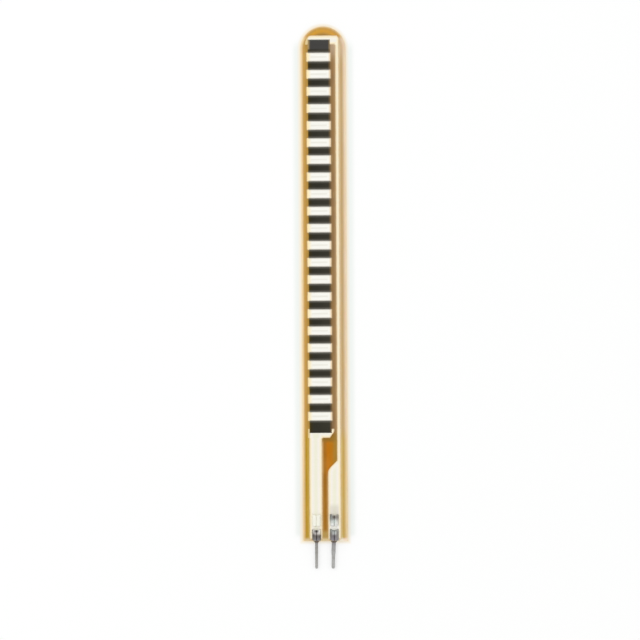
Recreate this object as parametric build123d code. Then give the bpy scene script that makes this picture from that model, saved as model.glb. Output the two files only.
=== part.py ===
from build123d import *

import os

# A flex sensor: a strip of amber film with a printed resistor, and two crimped solder pins.
#
# Frame, in millimetres: +X is to the right on the printed face, +Y points at the rounded tip and
# +Z is up off the printed face. The strip lies on its back. Most of the film's underside and both
# contacts' base plates are at Z = 0, so the film rises by one plate's thickness near its square end.
# The origin is under the middle of the whole length, pins included.

# Base film
film_width = 6.35
film_thickness = 0.36
tail_corner_radius = 0.3

# Printed layers
silver_thickness = 0.03
carbon_thickness = 0.03
tip_margin = 0.45  # round tip to the end pad, which follows it
tail_margin = 0.25  # film's square end to the conductors

# Segmented resistor, from the tip towards the pins
bar_count = 22
bar_pitch = 2.45
bar_length = 1.3  # along the film
bar_corner_radius = 0.12
bar_margin = 0.815  # left edge of the film to the bars
tip_to_pad = 1.92  # tip to the middle of the first end pad
pad_to_tail = 15.39  # middle of the last end pad to the square end
carbon_inset_left = 0.165  # how far the bars reach past the carbon on each side
carbon_inset_right = 0.06
pad_lap = 0.65  # length of carbon that lies on each end pad

# End pads, which reach a little past the bars
tip_pad_ear = 0.17
tail_pad_ear_left = 0.04
tail_pad_ear_right = 0.3
tail_pad_slope_width = 0.69
tail_pad_slope_length = 1.0

# Conductors
line_width = 0.53  # thin return line beside the resistor
line_gap = 0.69  # bars to return line
run_outer_reach = 1.0  # middle of a pin to the outer edge of its wide run
run_inner_reach = 0.855  # middle of a pin to the inner edge of its wide run
wide_run_length = 10.17  # wide part of the return run, from the square end
shoulder_radius = 1.2
corner_radius = 0.2

# Stamped contacts
pin_pitch = 2.54
pin_reach = 4.0  # beyond the film's square end
pin_width = 0.4
plate_thickness = 0.2
crimp_width = 1.2
claw_length = 1.6  # along the film, at the root
claw_tip_length = 1.5
claw_lean = 0.16  # towards the pins, from a claw's root to its tip
claw_space = 0.5  # between the two pairs
claw_to_tail = 0.12  # film's square end to the first pair
claw_gap = 0.08  # between the tips of a facing pair
plate_overhang = 0.15  # plate past the second pair of claws
bend_radius = 0.1  # outside of the plate's folded edges
neck_width = 0.85  # at the film's square end
neck_length = 0.3
neck_clearance = 0.03  # film's square end to where the neck starts to thicken
slit_clearance = 0.02
pin_corner_radius = 0.07
pin_tip_length = 0.25
pin_tip_share = 0.65  # width of the pin's end face against the pin's own
fold_slot_height = 0.03
fold_slot_depth = 0.1

# The film's rise onto the base plates
rise_margin = 1.2  # flat film left at each end of the rise

# Places along the film
film_length = tip_to_pad + (bar_count + 1) * bar_pitch + pad_to_tail
overall_length = film_length + pin_reach
tail_y = pin_reach - overall_length / 2
tip_y = tail_y + film_length
tip_pad_y = tip_y - tip_to_pad
tail_pad_y = tail_y + pad_to_tail
plate_end_y = tail_y + claw_to_tail + 2 * claw_length + claw_space + plate_overhang
rise_start_y = plate_end_y + rise_margin
rise_end_y = tail_pad_y - bar_length / 2 - rise_margin
claw_centres = [
    claw_to_tail + claw_length * (pair + 0.5) + claw_space * pair for pair in range(2)
]  # from the square end

# Places across the film
left_edge = -film_width / 2
run_outside = pin_pitch / 2 + run_outer_reach
run_inside = pin_pitch / 2 - run_inner_reach
line_right = run_outside
line_left = line_right - line_width
bars_left = left_edge + bar_margin
bars_right = line_left - line_gap
carbon_left = bars_left + carbon_inset_left
carbon_right = bars_right - carbon_inset_right

# Levels above the film's underside
silver_top = film_thickness + silver_thickness
carbon_top = film_thickness + carbon_thickness
bar_top = carbon_top + silver_thickness
crimp_top = plate_thickness + silver_top  # silver under the claws, above the base plate


def sheet_line(level):
    """Side view of a surface that lies `level` above the film's underside, from tail to tip.

    A straight ramp between two flats brings it down by one plate's thickness.
    """
    return [
        (tail_y, plate_thickness + level),
        (rise_start_y, plate_thickness + level),
        (rise_end_y, level),
        (tip_y, level),
    ]


def layer(outline, low, high):
    """The outline, drawn from above, as a layer between two levels of the raised film."""
    section = Plane.YZ * make_face(
        Polyline(*sheet_line(low), *reversed(sheet_line(high)), close=True)
    )
    slab = extrude(section, film_width, both=True)
    column = extrude(outline, 2 * (plate_thickness + high))
    return column & slab


def corners_at(outline, points):
    """The outline's corners that lie at the given points."""
    return [outline.vertices().sort_by_distance((x, y, 0))[0] for x, y in points]


def slits(x):
    """The slits that one contact's claws need through the film and its run, from above."""
    width = plate_thickness + 2 * slit_clearance
    length = claw_length + 2 * slit_clearance
    leg_x = (crimp_width - plate_thickness) / 2
    return [
        Pos(x + side * leg_x, tail_y + centre) * Rectangle(width, length)
        for side in (-1, 1)
        for centre in claw_centres
    ]


def base_film():
    """Polyimide strip: square at the pins, half round at the tip, slit for the claws."""
    tip_centre_y = tip_y - film_width / 2
    strip = Pos(0, (tail_y + tip_centre_y) / 2) * Rectangle(film_width, tip_centre_y - tail_y)
    strip = fillet(strip.vertices().group_by(Axis.Y)[0], tail_corner_radius)
    outline = strip + Pos(0, tip_centre_y) * Circle(film_width / 2)
    outline -= slits(-pin_pitch / 2) + slits(pin_pitch / 2)
    return layer(outline, 0, film_thickness)


def lead_conductor():
    """Silver ink: the last end pad, its sloped right ear and the wide run to the left pin."""
    pad_top = tail_pad_y + bar_length / 2
    pad_bottom = tail_pad_y - bar_length / 2
    pad_left = bars_left - tail_pad_ear_left
    pad_right = bars_right + tail_pad_ear_right
    inner_corner = (-run_inside, pad_bottom)
    outline = make_face(
        Polyline(
            (pad_left, pad_top),
            (pad_right, pad_top),
            (pad_right, pad_bottom + tail_pad_slope_length),
            (pad_right - tail_pad_slope_width, pad_bottom),
            inner_corner,
            (-run_inside, tail_y + tail_margin),
            (-run_outside, tail_y + tail_margin),
            (-run_outside, pad_bottom),
            (pad_left, pad_bottom),
            close=True,
        )
    )
    outline = fillet(corners_at(outline, [inner_corner]), corner_radius)
    outline -= slits(-pin_pitch / 2)
    return layer(outline, film_thickness, silver_top)


def return_conductor():
    """Silver ink: the first end pad, the thin line down the right side and its wide run."""
    pad_top = tip_pad_y + bar_length / 2
    pad_bottom = tip_pad_y - bar_length / 2
    pad_left = bars_left - tip_pad_ear
    inner_corner = (line_left, pad_bottom)
    shoulder_bottom = (run_inside, tail_y + wide_run_length)
    shoulder_top = (line_left, shoulder_bottom[1] + line_left - run_inside)
    outline = make_face(
        Polyline(
            (pad_left, pad_bottom),
            (pad_left, pad_top),
            (line_right, pad_top),
            (line_right, tail_y + tail_margin),
            (run_inside, tail_y + tail_margin),
            shoulder_bottom,
            shoulder_top,
            inner_corner,
            close=True,
        )
    )
    outline = fillet(corners_at(outline, [inner_corner, shoulder_top]), corner_radius)
    outline = fillet(corners_at(outline, [shoulder_bottom]), shoulder_radius)
    tip_centre_y = tip_y - film_width / 2
    inside_tip = Pos(0, tip_centre_y) * Circle(film_width / 2 - tip_margin)
    below_tip = Pos(0, (tip_centre_y + tail_y) / 2) * Rectangle(film_width, tip_centre_y - tail_y)
    outline &= inside_tip + below_tip
    outline -= slits(pin_pitch / 2)
    return layer(outline, film_thickness, silver_top)


def carbon_strip(end_pads):
    """Carbon ink: one strip that steps up onto both end pads."""
    upper_step = tip_pad_y - bar_length / 2 - carbon_thickness
    lower_step = tail_pad_y + bar_length / 2 + carbon_thickness
    upper_end = tip_pad_y - bar_length / 2 + pad_lap
    lower_end = tail_pad_y + bar_length / 2 - pad_lap
    section = make_face(
        Plane.YZ
        * Polyline(
            (lower_end, film_thickness),
            (lower_end, silver_top + carbon_thickness),
            (lower_step, silver_top + carbon_thickness),
            (lower_step + silver_thickness, carbon_top),
            (upper_step - silver_thickness, carbon_top),
            (upper_step, silver_top + carbon_thickness),
            (upper_end, silver_top + carbon_thickness),
            (upper_end, film_thickness),
            close=True,
        )
    )
    strip = Pos((carbon_left + carbon_right) / 2, 0, 0) * extrude(
        section, (carbon_right - carbon_left) / 2, both=True
    )
    return strip - end_pads


def silver_bar(number, carbon):
    """One silver bar with rounded corners, draped over both long edges of the carbon strip."""
    section = make_face(
        Plane.XZ
        * Polyline(
            (bars_left, film_thickness),
            (bars_left, silver_top),
            (carbon_left - silver_thickness, silver_top),
            (carbon_left, bar_top),
            (carbon_right, bar_top),
            (carbon_right + silver_thickness, silver_top),
            (bars_right, silver_top),
            (bars_right, film_thickness),
            close=True,
        )
    )
    bar = extrude(section, bar_length / 2, both=True)
    outline = RectangleRounded(bars_right - bars_left, bar_length, bar_corner_radius)
    bar &= extrude(Pos((bars_left + bars_right) / 2) * outline, 2 * bar_top)
    return Pos(0, tip_pad_y - number * bar_pitch, 0) * bar - carbon


def claw_pair(centre):
    """A facing pair of claws: legs up through the film, then half a ring down onto the silver.

    Seen from above, each claw narrows a little and leans towards the pins as it closes.
    """
    leg_x = (crimp_width - plate_thickness) / 2
    ring_outside = (crimp_width / 2 - claw_gap / 2) / 2
    ring_x = crimp_width / 2 - ring_outside
    ring = Circle(ring_outside) - Circle(ring_outside - plate_thickness)
    ring &= Pos(0, ring_outside / 2) * Rectangle(2 * ring_outside, ring_outside)
    hook = Pos(leg_x, crimp_top / 2) * Rectangle(plate_thickness, crimp_top)
    hook += Pos(ring_x, crimp_top) * ring
    claw = extrude(Plane.XZ * hook, claw_length / 2 + claw_lean, both=True)
    root_x = crimp_width / 2 - plate_thickness
    tip_x = claw_gap / 2
    leaning = make_face(
        Polyline(
            (tip_x, claw_tip_length / 2 - claw_lean),
            (root_x, claw_length / 2),
            (crimp_width / 2, claw_length / 2),
            (crimp_width / 2, -claw_length / 2),
            (root_x, -claw_length / 2),
            (tip_x, -claw_tip_length / 2 - claw_lean),
            close=True,
        )
    )
    claw &= extrude(leaning, crimp_top + ring_outside)
    return Pos(0, centre, 0) * (claw + mirror(claw, Plane.YZ))


def pin_section(distance, width, height, corner):
    """Rounded section across the contact, `distance` below the film's square end."""
    return Plane.XZ.offset(distance) * Pos(0, height / 2) * RectangleRounded(width, height, corner)


def terminal(x):
    """Stamped contact: base plate, two pairs of claws, tapered neck and folded pin."""
    pin_height = 2 * plate_thickness
    plate_length = plate_end_y - tail_y
    section = Pos(0, plate_thickness / 2) * Rectangle(crimp_width, plate_thickness)
    section = fillet(section.vertices().group_by(Axis.Y)[0], bend_radius)
    contact = Plane.XZ.offset(-plate_length) * section
    contact = extrude(contact, plate_length - claw_to_tail)
    for centre in claw_centres:
        contact += claw_pair(centre)
    neck_end = neck_clearance + neck_length
    neck_corner = bend_radius / 2
    plate_to_neck = pin_section(-claw_to_tail, crimp_width, plate_thickness, neck_corner)
    thin_neck = pin_section(neck_clearance, neck_width, plate_thickness, neck_corner)
    pin_start = pin_section(neck_end, pin_width, pin_height, pin_corner_radius)
    contact += loft([plate_to_neck, thin_neck]) + loft([thin_neck, pin_start])
    shank_end = pin_reach - pin_tip_length
    shank = extrude(pin_start, shank_end - neck_end)
    tip_height = pin_height * pin_tip_share
    tip_face = Pos(0, 0, (pin_height - tip_height) / 2) * pin_section(
        pin_reach, pin_width * pin_tip_share, tip_height, pin_corner_radius * pin_tip_share
    )
    tip = loft([pin_section(shank_end, pin_width, pin_height, pin_corner_radius), tip_face])
    slot = Pos(-pin_width / 2, -(neck_end + shank_end) / 2, plate_thickness) * Box(
        2 * fold_slot_depth, shank_end - neck_end, fold_slot_height
    )
    return Pos(x, tail_y, 0) * (contact + shank + tip - slot)


lead = lead_conductor()
back = return_conductor()
carbon = carbon_strip(lead + back)
nodes = {
    "base_film": base_film(),
    "lead_conductor": lead,
    "return_conductor": back,
    "carbon_strip": carbon,
    "lead_terminal": terminal(-pin_pitch / 2),
    "return_terminal": terminal(pin_pitch / 2),
}
for number in range(1, bar_count + 1):
    nodes[f"silver_bar_{number:02d}"] = silver_bar(number, carbon)

os.makedirs("parts", exist_ok=True)
for name, solid in nodes.items():
    export_step(solid, f"parts/{name}.step")
print(f"film {film_length:.2f} x {film_width:.2f} mm, {overall_length:.2f} mm with pins")
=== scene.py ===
import bpy
import numpy as np
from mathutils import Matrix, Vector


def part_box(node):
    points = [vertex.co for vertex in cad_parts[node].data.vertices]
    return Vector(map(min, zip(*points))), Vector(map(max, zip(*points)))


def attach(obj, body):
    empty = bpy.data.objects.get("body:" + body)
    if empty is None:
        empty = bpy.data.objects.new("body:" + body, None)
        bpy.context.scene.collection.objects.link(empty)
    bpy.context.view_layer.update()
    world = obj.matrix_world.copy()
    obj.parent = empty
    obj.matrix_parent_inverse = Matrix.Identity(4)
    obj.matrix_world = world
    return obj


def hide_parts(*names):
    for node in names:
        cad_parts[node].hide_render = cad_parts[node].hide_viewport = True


# A flex sensor on a pale table, printed face up, with its rounded tip away from the viewer and its
# two solder pins nearest: +X is to the right, +Y towards the tip and +Z up. Every length is in
# millimetres until a mesh is made from it.
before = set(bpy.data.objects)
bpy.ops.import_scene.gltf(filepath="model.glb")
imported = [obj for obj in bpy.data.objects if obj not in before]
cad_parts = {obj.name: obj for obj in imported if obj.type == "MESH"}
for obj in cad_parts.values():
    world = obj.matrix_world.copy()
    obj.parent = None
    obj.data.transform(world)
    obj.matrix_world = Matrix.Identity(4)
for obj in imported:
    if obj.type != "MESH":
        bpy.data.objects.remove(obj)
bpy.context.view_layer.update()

# Base film: amber polyimide a third of a millimetre thick, die cut square at the pins and half
# round at the tip, and slit where the contacts' claws pierce it. It lies on the table and rises by
# one plate's thickness where the contacts' base plates lie under it.
MM = 0.001


def corners(node):
    """A solid's lowest and highest corners, in millimetres."""
    return [np.array(corner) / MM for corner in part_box(node)]


film_low, film_high = corners("base_film")
half_film = film_high[0]
tail, tip = film_low[1], film_high[1]
film_thickness = 0.36
plate_thickness = film_high[2] - film_thickness
tail_corner = 0.3
rise_from, rise_to = tail + 5.17, tail + 13.54  # where the film starts and ends its way down
contact_low, contact_high = corners("return_terminal")
pin_line = (contact_low[0] + contact_high[0]) / 2
leg_reach = 0.5  # middle of a contact to the middle of its claws' legs
claw_centres = (tail + 0.92, tail + 3.02)
slit_width, slit_length = 0.2, 1.6


def smooth_step(value, start, end):
    """0 before start, 1 after end, and 3 t squared less 2 t cubed between."""
    t = np.clip((value - start) / (end - start), 0, 1)
    return t * t * (3 - 2 * t)


def corner_loss(into_corner, radius):
    """What a rounded corner takes off a side, `into_corner` past the place where its quarter circle
    starts: the radius less the root of its square less that distance's square."""
    past_start = np.clip(into_corner, 0, radius)
    return radius - np.sqrt(radius**2 - past_start**2)


def film_level(y):
    """Height of the film's underside: one plate's thickness at the pins, and down to the table."""
    return plate_thickness * (1 - smooth_step(y, rise_from, rise_to))


def past_slits(x, y):
    """How far a point is outside the nearest of the eight slits: the larger of its distances beyond
    that slit's half width and half length. The slits mirror about the film and about each pin."""
    across = np.abs(np.abs(np.abs(x) - pin_line) - leg_reach) - slit_width / 2
    along = np.min([np.abs(y - centre) for centre in claw_centres], axis=0) - slit_length / 2
    return np.maximum(across, along)


def stations(start, *runs):
    """Grid lines from `start` through each (end, steps), evenly spaced within each run."""
    lines = [start]
    for end, steps in runs:
        lines.extend(np.linspace(lines[-1], end, steps + 1)[1:])
    return np.array(lines)


def grid_quads(keep):
    """Corner numbers of the kept cells of a grid. They face up where rows run along +Y and columns
    along +X."""
    rows, columns = keep.shape
    number = np.arange((rows + 1) * (columns + 1)).reshape(rows + 1, columns + 1)
    around = [number[:-1, :-1], number[:-1, 1:], number[1:, 1:], number[1:, :-1]]
    return np.stack(around, axis=-1)[keep]


def cell_middles(points):
    """Middle of each cell of a grid of values."""
    return (points[:-1, :-1] + points[:-1, 1:] + points[1:, 1:] + points[1:, :-1]) / 4


def new_piece(name, points, quads, caps=(), sharp_over=50, **measures):
    """An object at the origin from points in millimetres, four-cornered faces and end caps. Points
    that no face uses are dropped. Each measure is stored as a number at every point."""
    used, numbers = np.unique(quads, return_inverse=True)
    renumbered = np.full(len(points), -1)
    renumbered[used] = np.arange(len(used))
    faces = numbers.reshape(-1, 4).tolist() + [renumbered[cap].tolist() for cap in caps]
    mesh = bpy.data.meshes.new(name)
    mesh.from_pydata((points[used] * MM).tolist(), [], faces)
    for measure, values in measures.items():
        layer = mesh.attributes.new(measure, "FLOAT", "POINT")
        layer.data.foreach_set("value", values[used].astype(np.float32))
    mesh.shade_smooth()
    mesh.set_sharp_from_angle(angle=np.radians(sharp_over))
    piece = bpy.data.objects.new(name, mesh)
    bpy.context.collection.objects.link(piece)
    return piece


def half_width(y):
    """Half the film's width at y: full width less a small rounded corner at the square end, and
    less one as wide as the half film at the tip."""
    tail_loss = corner_loss(tail + tail_corner - y, tail_corner)
    return half_film - tail_loss - corner_loss(y - tip + half_film, half_film)


slit_sides = [
    pin_line + leg * leg_reach + side * slit_width / 2 for leg in (-1, 1) for side in (-1, 1)
]
slit_ends = [centre + end * slit_length / 2 for centre in claw_centres for end in (-1, 1)]
film_columns = stations(
    0, (slit_sides[0], 4), (slit_sides[1], 2), (slit_sides[2], 5), (slit_sides[3], 2),
    (half_film, 9)
)
film_columns = np.concatenate([-film_columns[:0:-1], film_columns])
film_rows = stations(
    tail, (slit_ends[0], 6), (slit_ends[1], 10), (slit_ends[2], 3), (slit_ends[3], 10),
    (tip - half_film, 190)
)
tip_turn = np.radians(stations(0, (88, 28)))[1:]
film_rows = np.concatenate([film_rows, tip - half_film * (1 - np.sin(tip_turn))])
row_y, column_x = np.meshgrid(film_rows, film_columns, indexing="ij")
held_width = np.where(row_y < 0, 2.0, 0.0)  # beside the claws the inner columns stay upright
outer_share = (half_width(row_y) - held_width) / (half_film - held_width)
outer_width = np.maximum(np.abs(column_x) - held_width, 0) * outer_share
film_x = np.sign(column_x) * (np.minimum(np.abs(column_x), held_width) + outer_width)
film_points = np.stack([film_x, row_y, film_level(row_y) + film_thickness], axis=-1)
outside_slits = past_slits(cell_middles(film_x), cell_middles(row_y)) > 0
film = new_piece("film_strip", film_points.reshape(-1, 3), grid_quads(outside_slits))

wall = film.modifiers.new("thickness", "SOLIDIFY")
wall.thickness = film_thickness * MM
wall.offset = -1
cut_edge = film.modifiers.new("die cut edge", "BEVEL")
cut_edge.width = 0.025 * MM
cut_edge.segments = 2
cut_edge.limit_method = "ANGLE"
cut_edge.angle_limit = np.radians(50)
cut_edge.harden_normals = True


def shader_node(tree, kind, inputs=None, **settings):
    """One shader node. `inputs` gives a socket, by name or number, a plain value or an output."""
    made = tree.nodes.new(kind)
    for setting, value in settings.items():
        setattr(made, setting, value)
    for socket, value in (inputs or {}).items():
        if isinstance(value, bpy.types.NodeSocket):
            tree.links.new(value, made.inputs[socket])
        else:
            made.inputs[socket].default_value = value
    return made


def calculated(tree, operation, first, second=0.0):
    """A sum, product or other result of two numbers."""
    inputs = {0: first, 1: second}
    return shader_node(tree, "ShaderNodeMath", inputs, operation=operation).outputs[0]


def product(tree, first, *others):
    """Several numbers multiplied together."""
    for other in others:
        first = calculated(tree, "MULTIPLY", first, other)
    return first


def ease(tree, value, start, end, low=0.0, high=1.0):
    """`low` up to `start`, `high` from `end`, and a smooth step between."""
    inputs = {"Value": value, "From Min": start, "From Max": end, "To Min": low, "To Max": high}
    made = shader_node(tree, "ShaderNodeMapRange", inputs, interpolation_type="SMOOTHSTEP")
    return made.outputs["Result"]


def window(tree, value, rise, fall):
    """1 between two places and 0 outside them: a smooth step over `rise` times one over `fall`."""
    return product(tree, ease(tree, value, *rise), ease(tree, value, *fall))


def tinted(tree, share, under, over, method="MIX"):
    """The colour `under`, covered by `over` as far as `share` says."""
    inputs = {0: share, 6: under, 7: over}
    made = shader_node(tree, "ShaderNodeMix", inputs, data_type="RGBA", blend_type=method)
    return made.outputs[2]


def screen_colour(red, green, blue):
    """A colour as it is seen on a screen, 0 to 255, as the linear colour a shader takes."""
    level = np.array([red, green, blue]) / 255
    linear = np.where(level > 0.04045, ((level + 0.055) / 1.055) ** 2.4, level / 12.92)
    return (*linear.tolist(), 1.0)


def bands(tree, value, low, high, stops):
    """Colours that pass smoothly from one to the next: each stop is a place between low and high
    and a screen colour."""
    inputs = {"Value": value, "From Min": low, "From Max": high}
    share = shader_node(tree, "ShaderNodeMapRange", inputs)
    made = shader_node(tree, "ShaderNodeValToRGB", {"Fac": share.outputs["Result"]})
    made.color_ramp.interpolation = "EASE"
    elements = made.color_ramp.elements
    while len(elements) < len(stops):
        elements.new(1.0)
    for element, (place, colour) in zip(elements, stops):
        element.position = (place - low) / (high - low)
        element.color = screen_colour(*colour)
    return made.outputs["Color"]


def place_in_mm(tree):
    """The place on the object in millimetres, as a vector and as its X, Y and Z."""
    metres = shader_node(tree, "ShaderNodeTexCoord").outputs["Object"]
    inputs = {0: metres, "Scale": 1 / MM}
    place = shader_node(tree, "ShaderNodeVectorMath", inputs, operation="SCALE").outputs["Vector"]
    return place, shader_node(tree, "ShaderNodeSeparateXYZ", {0: place}).outputs


def empty_tree(owner):
    """The node tree of a material or a world, with no node in it."""
    owner.use_nodes = True
    owner.node_tree.nodes.clear()
    return owner.node_tree


def new_material(name):
    """A material with an opaque glossy shader, and the place on the object in millimetres."""
    material = bpy.data.materials.new(name)
    tree = empty_tree(material)
    shader = shader_node(tree, "ShaderNodeBsdfPrincipled")
    shader_node(tree, "ShaderNodeOutputMaterial", {"Surface": shader.outputs["BSDF"]})
    return material, tree, shader, *place_in_mm(tree)


def give_surface(tree, shader, colour, roughness, specular, relief, height, strength):
    """Gives a shader its colour, gloss and relief, with the relief's height in millimetres."""
    inputs = {"Height": relief, "Distance": height * MM, "Strength": strength}
    bump = shader_node(tree, "ShaderNodeBump", inputs)
    shader.inputs["Specular IOR Level"].default_value = specular
    tree.links.new(colour, shader.inputs["Base Color"])
    tree.links.new(roughness, shader.inputs["Roughness"])
    tree.links.new(bump.outputs["Normal"], shader.inputs["Normal"])


def shared_effect(name, inputs, outputs):
    """An empty node group with inputs, given by name and kind, and outputs that are numbers."""
    group = bpy.data.node_groups.new(name, "ShaderNodeTree")
    sockets = group.interface
    for label, kind in inputs.items():
        sockets.new_socket(name=label, in_out="INPUT", socket_type=f"NodeSocket{kind}")
    for label in outputs:
        sockets.new_socket(name=label, in_out="OUTPUT", socket_type="NodeSocketFloat")
    given = group.nodes.new("NodeGroupInput").outputs
    return group, given, group.nodes.new("NodeGroupOutput").inputs


def placed_effect(tree, group, inputs):
    """Outputs of a shared effect with this material's own values."""
    return shader_node(tree, "ShaderNodeGroup", inputs, node_tree=group).outputs


# Two effects are shared by the film, the inks and the contacts: uneven colour drawn out along one
# direction, and the dull marks and hair scratches of handling.
mottle, given, result = shared_effect(
    "mottle", {"Place": "Vector", "Stretch": "Vector", "Per Millimetre": "Float"}, ["Tone"]
)
drawn_out = shader_node(
    mottle, "ShaderNodeVectorMath", {0: given["Place"], 1: given["Stretch"]}, operation="MULTIPLY"
).outputs["Vector"]
clouds = shader_node(
    mottle,
    "ShaderNodeTexNoise",
    {"Vector": drawn_out, "Scale": given["Per Millimetre"], "Detail": 3.0, "Roughness": 0.55},
).outputs["Fac"]
mottle.links.new(ease(mottle, clouds, 0.3, 0.7), result["Tone"])

handling, given, result = shared_effect(
    "handling", {"Place": "Vector", "Spread": "Float"}, ["Dull", "Scratch"]
)
dull_clouds = shader_node(
    handling,
    "ShaderNodeTexNoise",
    {"Vector": given["Place"], "Scale": 0.55, "Detail": 4.0, "Distortion": 0.6},
).outputs["Fac"]
dull_from = calculated(handling, "SUBTRACT", 0.85, product(handling, given["Spread"], 0.5))
dull_to = calculated(handling, "ADD", dull_from, 0.2)
handling.links.new(ease(handling, dull_clouds, dull_from, dull_to), result["Dull"])
turned = shader_node(
    handling,
    "ShaderNodeMapping",
    {"Vector": given["Place"], "Rotation": (0.0, 0.0, 0.35), "Scale": (9.0, 0.45, 1.0)},
).outputs["Vector"]
hairs = shader_node(
    handling, "ShaderNodeTexNoise", {"Vector": turned, "Scale": 1.0, "Detail": 2.0}
).outputs["Fac"]
handling.links.new(ease(handling, hairs, 0.68, 0.74), result["Scratch"])


def mottled(tree, place, stretch, per_millimetre):
    """The mottle's tone, 0 to 1, with this material's own stretch and fineness."""
    inputs = {"Place": place, "Stretch": stretch, "Per Millimetre": per_millimetre}
    return placed_effect(tree, mottle, inputs)["Tone"]


# Film finish: glossy amber, with painted light and shade for a translucent film on a white table:
# painted paler along the die cut edge, where light comes in through the edge, and painted browner
# between the bars and the return line and deeper orange between the two wide runs, where the inks
# shade the amber. Round the tip the bands follow the half circle, by distance from its middle.
# Each pair below is where one row of tones passes to the next along Y.
tip_tones = (36.9, 37.6)
paler_under_tip_pad = (33.4, 35.9)
past_resistor = (-18.2, -20.8)
past_shoulder = (-24.4, -26.0)
beside_front_claws = (-33.0, -33.8)
along_square_end = (-34.2, -34.75)


def distance_from_centre(tree, at):
    """Distance from the strip's centre line, or past the half circle's middle, from that middle."""
    past_middle = calculated(tree, "SUBTRACT", at["Y"], tip - half_film)
    past_middle = calculated(tree, "MAXIMUM", past_middle, 0.0)
    squares = [product(tree, side, side) for side in (at["X"], past_middle)]
    return calculated(tree, "SQRT", calculated(tree, "ADD", *squares))


film_amber, tree, shader, place, at = new_material("film amber")
from_centre = distance_from_centre(tree, at)
beside_bars = bands(
    tree,
    product(tree, from_centre, calculated(tree, "SIGN", at["X"])),
    -half_film,
    half_film,
    [
        (-3.17, (248, 225, 182)), (-2.77, (195, 152, 80)), (-2.4, (177, 138, 66)),
        (1.0, (122, 97, 67)), (1.4, (143, 112, 76)), (1.72, (172, 143, 105)),
        (2.3, (213, 189, 149)), (2.57, (190, 161, 115)), (3.17, (237, 218, 192)),
    ],
)
beside_runs = bands(
    tree,
    at["X"],
    -half_film,
    half_film,
    [
        (-3.17, (240, 212, 166)), (-2.68, (179, 139, 30)), (-2.33, (195, 163, 77)),
        (-0.41, (205, 168, 114)), (-0.1, (161, 104, 22)), (0.45, (187, 112, 0)),
        (0.9, (183, 114, 0)), (1.57, (162, 123, 44)), (1.75, (178, 147, 78)),
        (2.35, (211, 187, 129)), (2.6, (194, 161, 86)), (3.17, (230, 209, 168)),
    ],
)
amber = tinted(tree, ease(tree, at["Y"], *past_resistor), beside_bars, beside_runs)
off_centre = calculated(tree, "ABSOLUTE", at["X"])
between_runs = bands(
    tree,
    off_centre,
    0.0,
    0.5,
    [(0.0, (154, 99, 18)), (0.15, (157, 105, 26)), (0.27, (173, 129, 68)), (0.4, (196, 156, 102))],
)
inside_runs = ease(tree, off_centre, 0.7, 0.5)
below_shoulder = product(tree, ease(tree, at["Y"], *past_shoulder), inside_runs)
amber = tinted(tree, below_shoulder, amber, between_runs)
between_contacts = product(tree, ease(tree, at["Y"], *beside_front_claws), 0.75, inside_runs)
amber = tinted(tree, between_contacts, amber, screen_colour(186, 160, 96))
# Painted light: along the square end the amber is painted cream, for light coming in through the
# cut edge, and painted lighter still on the right, against the shadow of the claws.
left_cream, right_cream = screen_colour(228, 208, 172), screen_colour(250, 240, 226)
end_cream = tinted(tree, ease(tree, at["X"], 1.2, 2.3), left_cream, right_cream)
amber = tinted(tree, ease(tree, at["Y"], *along_square_end, 0.0, 0.85), amber, end_cream)

# The print's own places, and the haze that the ink leaves on the amber past its ends.
bar_pitch, bar_length, bar_count = 2.45, 1.3, 22
first_bar_low, first_bar_high = corners("silver_bar_01")
last_bar_low, last_bar_high = corners(f"silver_bar_{bar_count}")
first_bar_y = (first_bar_low[1] + first_bar_high[1]) / 2
last_bar_y = (last_bar_low[1] + last_bar_high[1]) / 2
bars_left, bars_right = first_bar_low[0], first_bar_high[0]
bar_middle_x, bar_half_width = (bars_left + bars_right) / 2, (bars_right - bars_left) / 2
carbon_low, carbon_high = corners("carbon_strip")


def distance_from_bar(tree, along):
    """Distance along the strip from the middle of the nearest bar."""
    from_first = calculated(tree, "SUBTRACT", along, first_bar_y)
    return calculated(tree, "PINGPONG", from_first, bar_pitch / 2)


from_bar = distance_from_bar(tree, at["Y"])
level_with_bar = ease(tree, from_bar, bar_length / 2 + 0.12, bar_length / 2 - 0.12)
from_bar_middle = calculated(tree, "ABSOLUTE", calculated(tree, "SUBTRACT", at["X"], bar_middle_x))
haze = product(
    tree,
    ease(tree, from_bar_middle, bar_half_width + 0.2, bar_half_width),
    ease(tree, at["Y"], last_bar_y - 1.5, last_bar_y - 1.0),
    level_with_bar,
    0.45,
)
amber = tinted(tree, haze, amber, screen_colour(232, 208, 172))
paler_right = product(
    tree, ease(tree, at["Y"], *paler_under_tip_pad, 0.0, 0.4), ease(tree, at["X"], 0.8, 1.2)
)
amber = tinted(tree, paler_right, amber, screen_colour(222, 202, 178))
# Painted shade: the amber just below the tail pad is darker.
shade_under_tail_pad = product(
    tree,
    window(tree, at["Y"], (-20.95, -20.3), (-19.4, -19.6)),
    window(tree, at["X"], (-0.6, -0.4), (2.0, 0.9)),
    0.8,
)
amber = tinted(tree, shade_under_tail_pad, amber, screen_colour(134, 101, 29))
# Painted light and shade round the tip: darker next to the pad, and pale along the cut edge.
tip_shade_and_edge_light = bands(
    tree,
    from_centre,
    1.8,
    half_film,
    [
        (1.95, (160, 122, 62)), (2.55, (211, 154, 52)), (2.9, (197, 150, 70)),
        (3.17, (226, 197, 150)),
    ],
)
amber = tinted(tree, ease(tree, at["Y"], *tip_tones, 0.0, 0.95), amber, tip_shade_and_edge_light)
drawn = mottled(tree, place, (2.2, 0.16, 1.0), 1.3)
patchy = mottled(tree, place, (1.0, 0.7, 1.0), 0.4)
amber = tinted(tree, product(tree, drawn, 0.12), amber, screen_colour(168, 118, 30))
amber = tinted(tree, product(tree, patchy, 0.1), amber, screen_colour(222, 180, 96))

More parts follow.
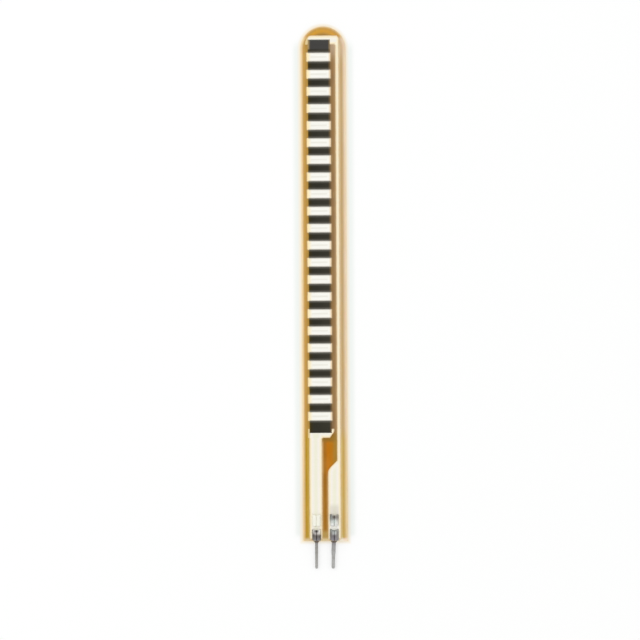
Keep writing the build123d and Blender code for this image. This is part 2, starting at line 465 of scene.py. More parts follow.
# Seen from behind, silver makes the amber lighter and carbon makes it darker.
behind_bar, behind_carbon = screen_colour(212, 158, 78), screen_colour(142, 92, 38)
show_through = tinted(tree, level_with_bar, behind_carbon, behind_bar)
behind_resistor = product(
    tree,
    window(tree, at["X"], (bars_left - 0.1, bars_left + 0.1), (bars_right + 0.1, bars_right - 0.1)),
    window(
        tree,
        at["Y"],
        (last_bar_y - 3.2, last_bar_y - 3.0),
        (first_bar_y + 3.2, first_bar_y + 3.0),
    ),
    0.6,
)
back_amber = tinted(tree, behind_resistor, screen_colour(200, 142, 58), show_through)
facing = shader_node(tree, "ShaderNodeTexCoord").outputs["Normal"]
facing_up = shader_node(tree, "ShaderNodeSeparateXYZ", {0: facing}).outputs["Z"]
amber = tinted(tree, ease(tree, facing_up, -0.5, -0.9), amber, back_amber)
worn = placed_effect(tree, handling, {"Place": place, "Spread": 0.45})
amber = tinted(tree, product(tree, worn["Scratch"], 0.25), amber, screen_colour(232, 198, 130))
gloss = calculated(tree, "ADD", 0.3, product(tree, worn["Dull"], 0.14))
relief = calculated(tree, "ADD", drawn, product(tree, worn["Scratch"], -0.6))
give_surface(tree, shader, amber, gloss, 0.14, relief, height=0.004, strength=0.6)
shader.inputs["Subsurface Weight"].default_value = 0.25
shader.inputs["Subsurface Radius"].default_value = (1.0, 0.55, 0.2)
shader.inputs["Subsurface Scale"].default_value = 0.3 * MM
film.data.materials.append(film_amber)
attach(film, "root")
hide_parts("base_film")

# Conductors: silver ink screen printed on the film, one pad across the strip at each end of the
# resistor and a run from each pad to its pin. The edges of the ink are soft and a little wavy.
silver_thickness = 0.03
soft_edge = 0.07
inner_corner = 0.2  # radius of the outline's inside corners
run_inner, run_outer = 0.415, 2.27
run_end = tail + 0.25


def ink_rise(depth, thickness):
    """Height of an ink layer `depth` in from its outline: a quarter sine over the soft edge, up to
    a low ridge, and level inside it."""
    into_edge = np.clip(depth / soft_edge, 0, 1)
    ridge = 0.18 * np.exp(-(((depth - 1.6 * soft_edge) / soft_edge) ** 2)) * into_edge
    return thickness * (np.sin(into_edge * np.pi / 2) + ridge)


def wavy(place, seed):
    """A small side step that changes smoothly along an edge: three sines of unrelated lengths."""
    waves = np.array([[0.006, 3.1], [0.004, 7.7], [0.003, 17.0]])
    turns = [size * np.sin(rate * place + seed * rate) for size, rate in waves]
    return np.sum(turns, axis=0)


def ink_layer(name, x, y, base, depth, thickness, keep=None, rim=None):
    """A closed layer of ink over a grid, each point `depth` inside the outline. Its top stands as
    high as ink_rise says and its underside sinks a tenth as far; the two meet on the outline. All
    cells are inked, or only those to `keep`. The depth for colour, `rim`, leaves out the slits."""
    keep = np.ones((x.shape[0] - 1, x.shape[1] - 1), bool) if keep is None else keep
    rim = depth if rim is None else rim
    rise = ink_rise(depth, thickness)
    top = np.stack([x, y, base + rise], axis=-1).reshape(-1, 3)
    under = np.stack([x, y, base - 0.1 * rise], axis=-1).reshape(-1, 3)
    quads = grid_quads(keep)
    number = np.arange(len(top))
    sewn = np.where(depth.ravel() > 1e-5, number + len(top), number)
    return new_piece(
        name,
        np.concatenate([top, under]),
        np.concatenate([quads, sewn[quads][:, ::-1]]),
        sharp_over=70,
        rim=np.tile(rim.ravel(), 2),
    )


def conductor(name, side, inner_edge, rows, pad_inner, pad_bottom, pad_top, outer_ear, seed):
    """One run and its pad, worked out as if the run were on the right and turned over by `side`.

    Rows go from the square end to the pad's far edge. Columns go from the pad's inner edge to the
    run's outer edge. Cells beyond the run's inner edge are kept in the pad alone, and no cell is
    kept in a slit. The run's inner edge meets the pad in a rounded corner, and the pad reaches
    `outer_ear` past its outer edge. Depth is the larger of the depths in the run and in the pad.
    """
    pad_share = stations(
        0, (0.02, 1), (0.06, 1), (0.14, 2), (0.86, 8), (0.94, 2), (0.98, 1), (1, 1)
    )
    run_lines = stations(
        run_inner, (run_inner + 0.1, 3), (slit_sides[0], 2), (slit_sides[1], 2), (slit_sides[2], 6),
        (slit_sides[3], 2), (run_outer - 0.1, 3), (run_outer, 3)
    )
    run_share = (run_lines - run_inner) / (run_outer - run_inner)
    ear_share = stations(0, (0.01, 1), (0.03, 1), (0.06, 1), (0.97, 14), (1, 1))
    run_y = np.concatenate([rows, np.full(len(pad_share), pad_bottom)])[:, None]
    in_pad = np.concatenate([np.zeros(len(rows)), np.ones(len(pad_share))])[:, None]
    left = inner_edge(run_y) - corner_loss(run_y - pad_bottom + inner_corner, inner_corner)
    right = run_outer + wavy(run_y, seed) + in_pad * outer_ear
    run_x = left + run_share * (right - left)
    ear_x = pad_inner(run_y) + ear_share[:-1] * (left - pad_inner(run_y))
    x = np.concatenate([ear_x, run_x], axis=1)
    far = pad_top(x)
    share = np.concatenate([np.zeros(len(rows)), pad_share])[:, None]
    y = run_y + share * (far - run_y) * in_pad
    across_ear = (x - pad_inner(run_y)) / (left - pad_inner(run_y))
    sloping_x = pad_inner(y) + across_ear * (left - pad_inner(y))
    x = np.where((in_pad > 0) & (x < left), sloping_x, x)
    run_left = inner_edge(y) - corner_loss(y - pad_bottom + inner_corner, inner_corner)
    run_depth = np.min([x - run_left, right - x, y - run_end, far - y], axis=0)
    pad_depth = np.min([x - pad_inner(y), right - x, y - pad_bottom, far - y], axis=0)
    printed_depth = np.maximum(run_depth, pad_depth)
    depth = np.minimum(printed_depth, past_slits(x, y))
    ear_cells = np.arange(x.shape[1] - 1)[None, :] < len(ear_share) - 1
    pad_cells = np.arange(x.shape[0] - 1)[:, None] >= len(rows)
    keep = (past_slits(cell_middles(x), cell_middles(y)) > 0) & (pad_cells | ~ear_cells)
    base = film_level(y) + film_thickness
    if side < 0:
        turned = (-x, y, base, depth, keep, printed_depth)
        x, y, base, depth, keep, printed_depth = [grid[:, ::-1] for grid in turned]
    depth = np.maximum(depth, 0)
    return ink_layer(name, x, y, base, depth, silver_thickness, keep, printed_depth)


line_left = 1.74
shoulder_bottom = tail + 10.17
shoulder_radius = 1.2


def return_edge(y):
    """Inner edge of the return run: upright, then round a corner to 45 degrees, then through a
    small hollow to the inner edge of the thin line."""
    slope_end = shoulder_bottom + line_left - run_inner
    tangent, turn = np.tan(np.radians(22.5)), np.sin(np.radians(45))
    round_y = y - (shoulder_bottom - shoulder_radius * tangent)
    rounded = run_inner + corner_loss(round_y, shoulder_radius)
    straight = run_inner + y - shoulder_bottom
    hollow_y = y - (slope_end + inner_corner * tangent)
    hollow = line_left - corner_loss(-hollow_y, inner_corner)
    upper = np.where(hollow_y < -inner_corner * turn, straight, hollow)
    return np.where(round_y < shoulder_radius * turn, rounded, upper) + wavy(y, 1.0)


tip_margin = 0.45
tip_pad_ear = 0.17
tip_pad_middle = first_bar_y + bar_pitch
tip_pad_bottom = tip_pad_middle - bar_length / 2
tail_pad_ear, tail_pad_outer_ear = 0.3, 0.13
tail_pad_slope_width, tail_pad_slope_length = 0.69, 1.0
tail_pad_middle = last_bar_y - bar_pitch
tail_pad_bottom = tail_pad_middle - bar_length / 2
tail_pad_top = tail_pad_middle + bar_length / 2
tail_pad_slope_top = tail_pad_bottom + 0.9
by_claws = [
    (run_end + 0.02, 1), (run_end + 0.06, 1), (run_end + 0.12, 1), (slit_ends[1], 8),
    (slit_ends[2], 4), (slit_ends[3], 8), (slit_ends[3] + 0.5, 2)
]
return_rows = stations(
    run_end, *by_claws, (shoulder_bottom - 0.7, 10), (shoulder_bottom + 1.7, 30),
    (tip_pad_bottom - 0.2, 140), (tip_pad_bottom - 0.1, 3), (tip_pad_bottom, 8)
)[:-1]
lead_rows = stations(
    run_end, *by_claws, (tail_pad_bottom - 0.2, 28), (tail_pad_bottom - 0.1, 3),
    (tail_pad_bottom, 8)
)[:-1]


def tip_pad_inner(y):
    """Left edge of the tip pad, one ear past the bars."""
    return bars_left - tip_pad_ear + wavy(y, 2.0)


def tip_pad_top(x):
    """Far edge of the tip pad: straight, or the arc that keeps one margin inside the film's tip."""
    inside = np.sqrt(np.maximum((half_film - tip_margin) ** 2 - x**2, 0))
    straight = tip_pad_middle + bar_length / 2
    return np.minimum(straight, tip - half_film + inside) + wavy(x, 4.0)


def tail_pad_inner(y):
    """Right edge of the tail pad, turned over: an ear past the bars, which slopes in lower down."""
    below_ear = np.clip(tail_pad_slope_top - y, 0, tail_pad_slope_length)
    return -(bars_right + tail_pad_ear) + tail_pad_slope_width * below_ear + wavy(y, 6.0)


return_print = conductor(
    "return_conductor_print", 1, return_edge, return_rows,
    tip_pad_inner, tip_pad_bottom, tip_pad_top, 0.0, 3.0
)
lead_print = conductor(
    "lead_conductor_print", -1, lambda y: run_inner + wavy(y, 5.0), lead_rows,
    tail_pad_inner, tail_pad_bottom, lambda x: tail_pad_top + wavy(x, 7.0), tail_pad_outer_ear, 8.0
)


def silver_finish(name, depths, streak, streak_share, ends, sheer, claw_stain_and_highlight):
    """Silver ink: a dull metallic white, thin at its soft edge, with the squeegee's fine streaks.

    `depths` are its colours by depth inside the outline. Each of `ends` is a place across the
    strip, the step to where its tone starts, and the tone. `sheer` is how far the carbon shows
    through at a bar's two long edges. `claw_stain_and_highlight` is how far the ink is stained
    darker before the return contact, and how far a highlight is painted on it between its claws.
    """
    material, tree, shader, place, at = new_material(name)
    rim = shader_node(tree, "ShaderNodeAttribute", attribute_name="rim").outputs["Fac"]
    colour = bands(tree, rim, 0.0, 1.0, depths)
    streaks = mottled(tree, place, (0.22, 3.4, 1.0), 1.6)
    grain = mottled(tree, place, (1.0, 1.0, 1.0), 9.0)
    colour = tinted(tree, product(tree, streaks, streak_share), colour, screen_colour(*streak))
    colour = tinted(tree, product(tree, grain, 0.12), colour, screen_colour(*streak))
    for end, step_in, tone in ends:
        colour = tinted(tree, ease(tree, at["X"], end + step_in, end), colour, screen_colour(*tone))
    over_carbon = window(
        tree,
        at["X"],
        (carbon_low[0] - 0.05, carbon_low[0] + 0.1),
        (carbon_high[0] + 0.05, carbon_high[0] - 0.1),
    )
    from_bar = distance_from_bar(tree, at["Y"])
    thin = ease(tree, from_bar, bar_length / 2 - 0.19, bar_length / 2, 0.0, sheer)
    colour = tinted(tree, product(tree, thin, over_carbon), colour, screen_colour(93, 90, 82))
    # Before the return contact the ink is stained darker, and between its claws a highlight is
    # painted.
    at_claws = product(
        tree,
        ease(tree, at["Y"], -29.3, -30.2, 0.0, claw_stain_and_highlight),
        window(tree, at["X"], (0.4, 0.8), (2.15, 1.75)),
    )
    stain_and_highlight = bands(
        tree, at["Y"], -33.0, -30.0, [(-32.2, (248, 248, 248)), (-31.2, (198, 192, 177))]
    )
    colour = tinted(tree, at_claws, colour, stain_and_highlight)
    worn = placed_effect(tree, handling, {"Place": place, "Spread": 0.4})
    gloss = calculated(tree, "ADD", 0.42, product(tree, worn["Dull"], 0.12))
    relief = calculated(tree, "ADD", product(tree, streaks, 0.7), grain)
    give_surface(tree, shader, colour, gloss, 0.25, relief, height=0.006, strength=0.5)
    shader.inputs["Metallic"].default_value = 0.15
    return material


run_silver = silver_finish(
    "silver ink, runs",
    [
        (0.0, (217, 184, 136)), (0.24, (248, 235, 202)), (0.46, (244, 238, 231)),
        (0.9, (236, 234, 213)),
    ],
    streak=(233, 232, 210),
    streak_share=0.25,
    ends=[(-run_outer - 0.03, 0.25, (221, 197, 142))],
    sheer=0.0,
    claw_stain_and_highlight=0.45,
)
for piece, node in ((return_print, "return_conductor"), (lead_print, "lead_conductor")):
    piece.data.materials.append(run_silver)
    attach(piece, "root")
    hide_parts(node)

# Carbon strip: black resistive ink, one strip down the middle of the resistor that steps up onto
# both end pads. It shows between the silver bars.
carbon_thickness = 0.03
printed_off = 0.06  # the carbon sits this far towards the tip of its place
carbon_ends = (carbon_low[1] + printed_off, carbon_high[1] + printed_off)
edge_steps = np.array([0.0, 0.02, 0.05, 0.09, 0.14])
carbon_columns = np.concatenate([
    carbon_low[0] + edge_steps,
    stations(carbon_low[0] + edge_steps[-1], (carbon_high[0] - edge_steps[-1], 14))[1:-1],
    carbon_high[0] - edge_steps[::-1],
])
carbon_rows = stations(
    carbon_low[1], (carbon_low[1] + 0.12, 4), (tail_pad_middle + 0.55, 4),
    (tail_pad_middle + 0.68, 6), (tip_pad_middle - 0.68, 260), (tip_pad_middle - 0.55, 6),
    (carbon_high[1] - 0.12, 4), (carbon_high[1], 4)
)
carbon_y, carbon_x = np.meshgrid(carbon_rows + printed_off, carbon_columns, indexing="ij")
carbon_middle = (carbon_low[0] + carbon_high[0]) / 2
carbon_half = (carbon_high[0] - carbon_low[0]) / 2
carbon_x = carbon_x + wavy(carbon_y, 9.0) * (carbon_x - carbon_middle) / carbon_half
carbon_side = carbon_half + wavy(carbon_y, 9.0) - np.abs(carbon_x - carbon_middle)
carbon_depth = np.min([carbon_side, carbon_y - carbon_ends[0], carbon_ends[1] - carbon_y], axis=0)
in_pads = np.maximum(carbon_y - tip_pad_bottom, tail_pad_top - carbon_y)
carbon_base = film_level(carbon_y) + film_thickness + ink_rise(in_pads, silver_thickness)
carbon_depth = np.maximum(carbon_depth, 0)
carbon_print = ink_layer(
    "carbon_strip_print", carbon_x, carbon_y, carbon_base, carbon_depth, carbon_thickness
)

# Carbon finish: dull black, with a little silver dust beside the bars. It is thin at its two long
# edges, where the amber tints it, and greyer on the pads.
carbon_black, tree, shader, place, at = new_material("carbon ink")
carbon_left, carbon_right = carbon_low[0], carbon_high[0]
patches = mottled(tree, place, (0.35, 0.5, 1.0), 0.9)
grain = mottled(tree, place, (1.0, 1.6, 1.0), 8.0)
lighter = calculated(
    tree, "ADD", product(tree, patches, 0.5), ease(tree, at["X"], -1.7, 0.7, 0.0, 0.5)
)
black = tinted(tree, lighter, screen_colour(32, 31, 20), screen_colour(50, 48, 38))
black = tinted(tree, product(tree, grain, 0.3), black, screen_colour(62, 59, 50))
for start, end, share, tone in (
    (carbon_left + 0.7, carbon_left + 0.1, 1.0, (50, 41, 6)),
    (carbon_left + 0.22, carbon_left, 1.0, (88, 70, 20)),
    (carbon_right - 0.36, carbon_right, 0.95, (104, 82, 50)),
):
    at_edge = ease(tree, at["X"], start, end, 0.0, share)
    black = tinted(tree, at_edge, black, screen_colour(*tone))
half_pitch = bar_pitch / 2
between_pads = window(
    tree,
    at["Y"],
    (last_bar_y - half_pitch - 0.05, last_bar_y - half_pitch + 0.05),
    (first_bar_y + half_pitch + 0.05, first_bar_y + half_pitch - 0.05),
)
from_bar = distance_from_bar(tree, at["Y"])
silver_dust = ease(tree, from_bar, bar_length / 2 + 0.37, bar_length / 2 - 0.05, 0.0, 0.35)
silver_dust = product(tree, silver_dust, between_pads)
black = tinted(tree, silver_dust, black, screen_colour(150, 146, 136))
on_tip_pad = ease(tree, at["Y"], 35.4, 35.75, 0.0, 0.8)
on_tail_pad = ease(tree, at["Y"], -19.4, -19.8, 0.0, 0.35)
on_pad = calculated(tree, "MAXIMUM", on_tip_pad, on_tail_pad)
black = tinted(tree, on_pad, black, screen_colour(67, 66, 65))
thin_left = ease(tree, at["X"], carbon_left + 0.42, carbon_left + 0.02, 0.0, 0.9)
thin_right = ease(tree, at["X"], carbon_right - 0.3, carbon_right, 0.0, 0.5)
thin_sides = product(tree, calculated(tree, "MAXIMUM", thin_left, thin_right), on_pad)
black = tinted(tree, thin_sides, black, screen_colour(196, 166, 112))
thin_end = ease(tree, at["Y"], carbon_ends[1] - 0.25, carbon_ends[1], 0.0, 0.5)
black = tinted(tree, thin_end, black, screen_colour(122, 122, 112))
gloss = ease(tree, grain, 0.0, 1.0, 0.5, 0.62)
give_surface(tree, shader, black, gloss, 0.13, grain, height=0.008, strength=0.6)
carbon_print.data.materials.append(carbon_black)
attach(carbon_print, "root")
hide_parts("carbon_strip")

# Silver bars: twenty-two separate bars of the same silver ink, printed over the carbon and draped
# over its two long edges. Each has rounded corners and its own slight waviness.
bar_silver = silver_finish(
    "silver ink, bars",
    [
        (0.0, (246, 242, 230)), (0.3, (249, 248, 241)), (0.44, (249, 248, 241)),
        (0.62, (235, 233, 223)),
    ],
    streak=(228, 227, 217),
    streak_share=0.3,
    ends=[(bars_left, 0.75, (246, 225, 172)), (bars_right, -0.4, (242, 218, 181))],
    sheer=0.65,
    claw_stain_and_highlight=0.0,
)
bar_half_length = bar_length / 2
bar_corner = 0.12
bar_columns = stations(
    -bar_half_width, (-bar_half_width + 0.06, 3), (-bar_half_width + 0.28, 6),
    (bar_half_width - 0.18, 16), (bar_half_width - 0.06, 3), (bar_half_width, 3)
)
bar_rows = stations(
    -bar_half_length, (-bar_half_length + 0.04, 3), (-bar_half_length + 0.12, 3),
    (bar_half_length - 0.12, 8), (bar_half_length - 0.04, 3), (bar_half_length, 3)
)


def rounded_depth(x, y, half_x, half_y, radius):
    """Depth inside a rounded rectangle: its corner radius less the distance to the rectangle that
    is smaller by that radius on every side."""
    over_x = np.abs(x) - (half_x - radius)
    over_y = np.abs(y) - (half_y - radius)
    outside = np.hypot(np.maximum(over_x, 0), np.maximum(over_y, 0))
    return radius - outside - np.minimum(np.maximum(over_x, over_y), 0)


grid_y, grid_x = np.meshgrid(bar_rows, bar_columns, indexing="ij")
row_half = bar_half_width - corner_loss(np.abs(grid_y) - bar_half_length + bar_corner, bar_corner)
grid_x = grid_x / bar_half_width * row_half
bar_depth = rounded_depth(grid_x, grid_y, bar_half_width, bar_half_length, bar_corner)
bar_depth = np.maximum(bar_depth, 0)
for number in range(1, bar_count + 1):
    node = f"silver_bar_{number:02d}"
    bar_y = first_bar_y - bar_pitch * (number - 1)
    x = bar_middle_x + grid_x * (1 + wavy(grid_y, number * 1.7) / bar_half_width)
    y = bar_y + grid_y * (1 + wavy(x, number * 2.9) / bar_half_length)
    over_carbon = np.minimum(x - carbon_low[0], carbon_high[0] - x)
    base = film_level(y) + film_thickness + ink_rise(over_carbon, carbon_thickness)
    bar = ink_layer(f"bar_print_{number:02d}", x, y, base, bar_depth, silver_thickness)
    bar.data.materials.append(bar_silver)
    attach(bar, "root")
    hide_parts(node)

# Contacts: two identical stampings of tinned sheet. Under the film is a base plate, two facing
# pairs of claws pierce the film and curl over onto the silver, and beyond the film the plate
# narrows and folds double into a solder pin, with its seam along the left side.
sheet_thickness = plate_thickness
plate_half_width = (contact_high[0] - contact_low[0]) / 2
pin_end, plate_end = contact_low[1], contact_high[1]
quarter = np.radians(stations(0, (90, 5)))
seam_half_height = 0.018


def section_ring():
    """Unit shape of a rounded section: four quarter circles, and three points for the seam in the
    left side. Rows are the corner's side and level, the circle's x and z, and the seam's in and
    up."""
    ring = []
    on_arc, off_seam = np.ones(len(quarter)), np.zeros(len(quarter))
    for side, level, start in ((1, -1, -90), (1, 1, 0), (-1, 1, 90), (-1, -1, 180)):
        turn = np.radians(start) + quarter
        circle = [np.cos(turn), np.sin(turn)]
        ring.append([side * on_arc, level * on_arc, *circle, off_seam, off_seam])
        if side == -1 and level == 1:
            ring.append([[-1] * 3, [0] * 3, [-1] * 3, [0] * 3, [0, 1, 0], [1, 0, -1]])
    return np.concatenate(ring, axis=1)


def swept(middle, across, up, width, height, radius, seam):
    """Points and faces of a rounded section carried along a path: each station's middle, plus the
    section's x along `across` and its z along `up`. Both ends are closed by flat caps."""
    side, level, circle_x, circle_z, seam_in, seam_up = section_ring()
    sizes = (width, height, radius, seam)
    width, height, radius, seam = [np.asarray(size)[:, None] for size in sizes]
    x = side * (width / 2 - radius) + radius * circle_x + seam * seam_in
    z = level * (height / 2 - radius) + radius * circle_z + seam_half_height * seam_up
    points = middle[:, None] + x[..., None] * across[:, None] + z[..., None] * up[:, None]
    number = np.arange(x.size).reshape(x.shape)
    after = np.roll(number, -1, axis=1)
    quads = np.stack([number[:-1], after[:-1], after[1:], number[1:]], axis=-1).reshape(-1, 4)
    return points.reshape(-1, 3), quads, [number[0][::-1], number[-1]]


def plate_and_pin(upper_width, lower_width, lean):
    """Base plate, neck and pin in one: the section passes from wide and flat to narrow and double
    over the neck, and the end of the pin tapers. The fold may be left wider in the pin's upper
    half, and `lean` is how far the tip is bent sideways."""
    narrow_start, film_end, neck_end = tail + 0.12, tail - 0.03, tail - 0.33
    shank_end = pin_end + 0.25
    end_radius = 0.06
    tip_loss = 0.35  # share of the pin's width and height that its taper takes off
    y = stations(
        plate_end, (plate_end - end_radius, 3), (narrow_start, 12), (film_end, 6), (neck_end, 12),
        (shank_end, 24), (pin_end + end_radius, 6), (pin_end, 4)
    )
    narrowed = smooth_step(-y, -narrow_start, -neck_end)
    folded = smooth_step(-y, -film_end, -neck_end)
    taper = np.clip((shank_end - y) / (shank_end - pin_end), 0, 1)
    upper_half = smooth_step(y, film_end - 2.2, film_end - 1.6)
    pin_width = lower_width + (upper_width - lower_width) * upper_half
    width = 2 * plate_half_width * (1 - narrowed) + pin_width * narrowed
    height = sheet_thickness * (1 + folded)
    middle_z = height / 2
    rounded_end = corner_loss(pin_end + end_radius - y, end_radius)
    blunt_start = corner_loss(y - plate_end + end_radius, end_radius)
    width = width * (1 - tip_loss * taper) - 2 * (rounded_end + blunt_start)
    height = height * (1 - tip_loss * taper) - 2 * rounded_end * 0.8
    radius = np.minimum(0.05 + 0.04 * folded, height / 2.4)
    seam = 0.09 * folded * (1 - 0.6 * taper)
    bent = lean * np.clip((film_end - y) / (film_end - pin_end), 0, 1) ** 0.35
    middle = np.stack([bent, y, middle_z], axis=-1)
    across = np.tile([1.0, 0.0, 0.0], (len(y), 1))
    up = np.tile([0.0, 0.0, 1.0], (len(y), 1))
    return swept(middle, across, up, width, height, radius, seam)


def claw(side, centre_y):
    """One claw: a quarter bend at the plate's edge, a leg up through the film, and half a ring down
    onto the silver, by the distance along the sheet's middle. Along the ring it narrows and leans
    towards the pin, and its tip is coined thin."""
    bend, plate_z = 0.11, sheet_thickness / 2
    ring_reach, ring_rise = 0.21, 0.18  # half the width and the height of the curl, mid sheet
    ring_z = plate_thickness + film_thickness + silver_thickness
    root_length, narrowing, lean = 1.6, 0.1, 0.16
    coined = 0.08  # length of the thin tip
    leg_length = ring_z - plate_z - bend
    bend_end, leg_end, ring_end = np.cumsum(
        [bend * np.pi / 2, leg_length, ring_rise * np.pi * 1.04]
    )
    along = stations(0, (bend_end, 6), (leg_end, 5), (ring_end - coined, 16), (ring_end, 6))
    bend_turn = np.minimum(along, bend_end) / bend
    leg = np.clip(along - bend_end, 0, leg_end - bend_end)
    ring_turn = np.clip(along - leg_end, 0, None) / ring_rise
    x = leg_reach - bend * (1 - np.sin(bend_turn)) - ring_reach * (1 - np.cos(ring_turn))
    z = plate_z + bend * (1 - np.cos(bend_turn)) + leg + ring_rise * np.sin(ring_turn)
    heading = bend_turn + ring_turn
    on_ring = np.clip((along - leg_end) / (ring_end - leg_end), 0, 1)
    middle = np.stack([side * x, centre_y - lean * on_ring**1.3, z], axis=-1)
    across = np.tile([0.0, -float(side), 0.0], (len(along), 1))
    up = np.stack([-side * np.sin(heading), np.zeros_like(along), np.cos(heading)], axis=-1)
    to_tip = np.clip((along - ring_end + coined) / coined, 0, 1)
    tip_share = 1 - 0.3 * (1 - np.sqrt(1 - 0.98 * to_tip**2))
    width = (root_length - narrowing * on_ring) * tip_share
    height = sheet_thickness * (1 - 0.45 * to_tip**2)
    radius, seam = np.full_like(along, 0.035), np.zeros_like(along)
    return swept(middle, across, up, width, height, radius, seam)


def contact(name, pin_x, *pin_shape):
    """Plate, pin and four claws in one piece, moved to its pin's line."""
    shells = [plate_and_pin(*pin_shape)]
    shells += [claw(side, centre) for centre in claw_centres for side in (-1, 1)]
    points, quads, caps, count = [], [], [], 0
    for shell_points, shell_quads, shell_caps in shells:
        points.append(shell_points + np.array([pin_x, 0.0, 0.0]))
        quads.append(shell_quads + count)
        caps += [cap + count for cap in shell_caps]
        count += len(shell_points)
    return new_piece(name, np.concatenate(points), np.concatenate(quads), caps, sharp_over=60)


def tin_finish(name, middle_x, pin_tones, left_tones, valley_tones, right_tones, ink_and_glare_from):
    """Tin over brass, stained by crimping, with painted light and shade: `pin_tones` along the pin
    and neck, darker towards the neck, and three rows of tones along the left claws, the valley and
    the right claws, which hold painted highlights on the curls, painted shade in the valley and the
    gaps under the curls, and the right claws painted lighter. Beyond `ink_and_glare_from` the claws
    are painted the white of the silver run, partly silver ink and partly a painted glare. Under the
    film it is clean."""
    material, tree, shader, place, at = new_material(name)
    left, valley, right = [
        bands(tree, at["Y"], pin_end, plate_end, pin_tones + tones)
        for tones in (left_tones, valley_tones, right_tones)
    ]
    from_middle = calculated(tree, "SUBTRACT", at["X"], middle_x)
    colour = tinted(tree, ease(tree, from_middle, -0.42, -0.12), left, valley)
    colour = tinted(tree, ease(tree, from_middle, 0.12, 0.42), colour, right)
    under_film = product(
        tree, ease(tree, at["Z"], 0.4, 0.3), ease(tree, at["Y"], tail - 0.15, tail + 0.15)
    )
    colour = tinted(tree, under_film, colour, screen_colour(169, 168, 165))
    bare = calculated(tree, "MAXIMUM", ease(tree, at["Y"], ink_and_glare_from, ink_and_glare_from - 0.2), under_film)
    stain = mottled(tree, place, (1.0, 1.0, 1.0), 2.2)
    colour = tinted(tree, product(tree, stain, 0.3, bare), colour, screen_colour(122, 118, 110))
    worn = placed_effect(tree, handling, {"Place": place, "Spread": 0.6})
    scratched = product(tree, worn["Scratch"], 0.4)
    colour = tinted(tree, scratched, colour, screen_colour(196, 196, 192))
    gloss = calculated(tree, "ADD", 0.36, product(tree, worn["Dull"], 0.16))
    relief = calculated(tree, "ADD", stain, product(tree, worn["Scratch"], -0.8))
    give_surface(tree, shader, colour, gloss, 0.25, relief, height=0.01, strength=0.5)
    tree.links.new(product(tree, bare, 0.75), shader.inputs["Metallic"])
    return material


# The lead contact's upper claws are painted the white of the silver run: partly silver ink on them
# and partly a painted glare.
ink_and_glare_tin = (240, 239, 226)
lead_tin = tin_finish(
    "tinned metal, lead",
    -pin_line,
    pin_tones=[(-38.7, (174, 173, 170)), (-35.6, (152, 150, 146)), (-34.9, (141, 138, 143))],
    left_tones=[
        (-34.0, (92, 87, 83)), (-33.55, (175, 172, 168)), (-33.35, (171, 169, 164)),
        (-33.12, (223, 221, 217)), (-32.9, ink_and_glare_tin),
    ],
    valley_tones=[
        (-34.1, (114, 108, 106)), (-33.7, (198, 193, 189)), (-33.43, (99, 95, 93)),
        (-33.12, (196, 194, 188)), (-32.9, ink_and_glare_tin),
    ],
    right_tones=[
        (-34.08, (99, 93, 88)), (-33.75, (225, 221, 213)), (-33.5, (238, 236, 229)),
        (-32.9, ink_and_glare_tin),
    ],
    ink_and_glare_from=-32.9,
)
return_tin = tin_finish(
    "tinned metal, return",
    pin_line,
    pin_tones=[
        (-38.7, (180, 180, 178)), (-36.6, (171, 171, 169)), (-35.6, (158, 157, 157)),
        (-34.9, (148, 145, 152)),
    ],
    left_tones=[
        (-34.1, (120, 114, 114)), (-33.1, (143, 148, 143)), (-32.4, (229, 232, 229)),
        (-31.5, (139, 145, 141)), (-31.0, (127, 127, 125)), (-30.7, (181, 181, 175)),
    ],
    valley_tones=[
        (-34.1, (129, 123, 129)), (-33.7, (204, 208, 206)), (-33.2, (139, 143, 139)),
        (-32.5, (242, 243, 240)), (-32.0, (217, 224, 219)), (-31.4, (127, 120, 112)),
        (-30.7, (211, 211, 204)),
    ],
    right_tones=[
        (-34.1, (143, 139, 135)), (-33.5, (150, 150, 145)), (-32.5, (240, 240, 234)),
        (-31.35, (143, 139, 131)), (-30.7, (204, 202, 194)),
    ],
    ink_and_glare_from=plate_end + 1.0,
)
for name, pin_x, pin_shape, tin in (
    ("lead_terminal", -pin_line, (0.42, 0.4, -0.02), lead_tin),
    ("return_terminal", pin_line, (0.58, 0.48, -0.175), return_tin),
):
    piece = contact(f"{name}_stamping", pin_x, *pin_shape)
    piece.data.materials.append(tin)
    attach(piece, "root")
    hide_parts(name)

# Table: white, and it keeps faint shadows. Beside the film a warm glow is painted, for light that
# has passed through the edge, and a soft shadow is painted beyond it.
table_reach = 1000.0
table_corners = table_reach * np.array([[-1, -1, 0], [1, -1, 0], [1, 1, 0], [-1, 1, 0]])
table = new_piece("table", table_corners, np.array([[0, 1, 2, 3]]))


def background_rays(tree):
    """1 for the rays that show the white background: the camera's, and those off metal or through
    clear pieces."""
    rays = shader_node(tree, "ShaderNodeLightPath").outputs
    bounced = calculated(tree, "MAXIMUM", rays["Is Glossy Ray"], rays["Is Transmission Ray"])
    return calculated(tree, "MAXIMUM", rays["Is Camera Ray"], bounced)


table_white = bpy.data.materials.new("white table")
tree = empty_tree(table_white)
place, at = place_in_mm(tree)
beside_film = calculated(
    tree,
    "MAXIMUM",
    calculated(tree, "SUBTRACT", distance_from_centre(tree, at), half_film),
    calculated(tree, "SUBTRACT", tail, at["Y"]),
)
warm = bands(
    tree,
    beside_film,
    0.0,
    0.6,
    [
        (0.0, (246, 224, 190)), (0.16, (254, 244, 223)), (0.3, (254, 248, 237)),
        (0.6, (255, 255, 255)),
    ],
)
shade = product(
    tree,
    window(tree, beside_film, (0.15, 0.6), (1.5, 0.65)),
    window(tree, at["Y"], (tail + 0.2, tail + 1.2), (tip - 1.5, tip - 3.5)),
    0.9,
)
glow = tinted(tree, shade, warm, screen_colour(242, 246, 243), "MULTIPLY")
white = tinted(tree, 1.0, glow, (0.42, 0.423, 0.42, 1.0), "MULTIPLY")
paper = shader_node(tree, "ShaderNodeBsdfDiffuse", {"Color": white})
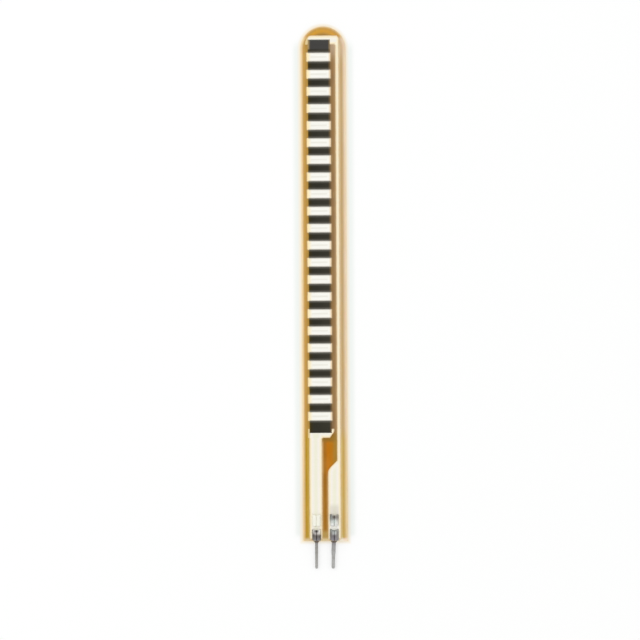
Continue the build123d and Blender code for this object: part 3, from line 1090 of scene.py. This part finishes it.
lift_strength = product(tree, background_rays(tree), 0.56)
lift = shader_node(tree, "ShaderNodeEmission", {"Color": glow, "Strength": lift_strength})
both = shader_node(tree, "ShaderNodeAddShader", {0: paper.outputs[0], 1: lift.outputs[0]})
shader_node(tree, "ShaderNodeOutputMaterial", {"Surface": both.outputs[0]})
table.data.materials.append(table_white)

# Light: even from all round the sky, dimmer straight above, and a broad soft lamp from the upper
# left.
sky = bpy.data.worlds.new("studio")
bpy.context.scene.world = sky
tree = empty_tree(sky)
direction = shader_node(tree, "ShaderNodeTexCoord").outputs["Generated"]
height = shader_node(tree, "ShaderNodeSeparateXYZ", {0: direction}).outputs["Z"]
walls = ease(tree, height, -0.05, 0.4, 0.6, 1.2)
ceiling = ease(tree, height, 0.78, 0.93, 1.0, 0.32)
strength = shader_node(
    tree,
    "ShaderNodeMix",
    {0: background_rays(tree), 2: product(tree, walls, ceiling), 3: 1.0},
    data_type="FLOAT",
).outputs[0]
sky_light = shader_node(
    tree, "ShaderNodeBackground", {"Color": (1.0, 1.0, 1.0, 1.0), "Strength": strength}
)
shader_node(tree, "ShaderNodeOutputWorld", {"Surface": sky_light.outputs[0]})

lamp_data = bpy.data.lights.new("soft lamp", "AREA")
lamp_data.size = 0.3
lamp_data.energy = 0.4
lamp = bpy.data.objects.new("soft lamp", lamp_data)
lamp.location = (-0.34, 0.2, 0.36)
bpy.context.collection.objects.link(lamp)
away = -lamp.location
lamp.rotation_euler = away.to_track_quat("-Z", "Y").to_euler()

# Camera: straight down through a long lens, turned so that the tip leans a little to the left.
camera_data = bpy.data.cameras.new("camera")
camera_data.lens = 100.0
camera_data.sensor_width = 36.0
picture_width = 91.8
camera_height = picture_width * camera_data.lens / camera_data.sensor_width
camera = bpy.data.objects.new("camera", camera_data)
camera.location = (-0.62 * MM, -3.2 * MM, camera_height * MM)
camera.rotation_euler = (0.0, 0.0, np.radians(-0.3))
bpy.context.collection.objects.link(camera)
bpy.context.scene.camera = camera
bpy.context.scene.view_settings.view_transform = "Standard"
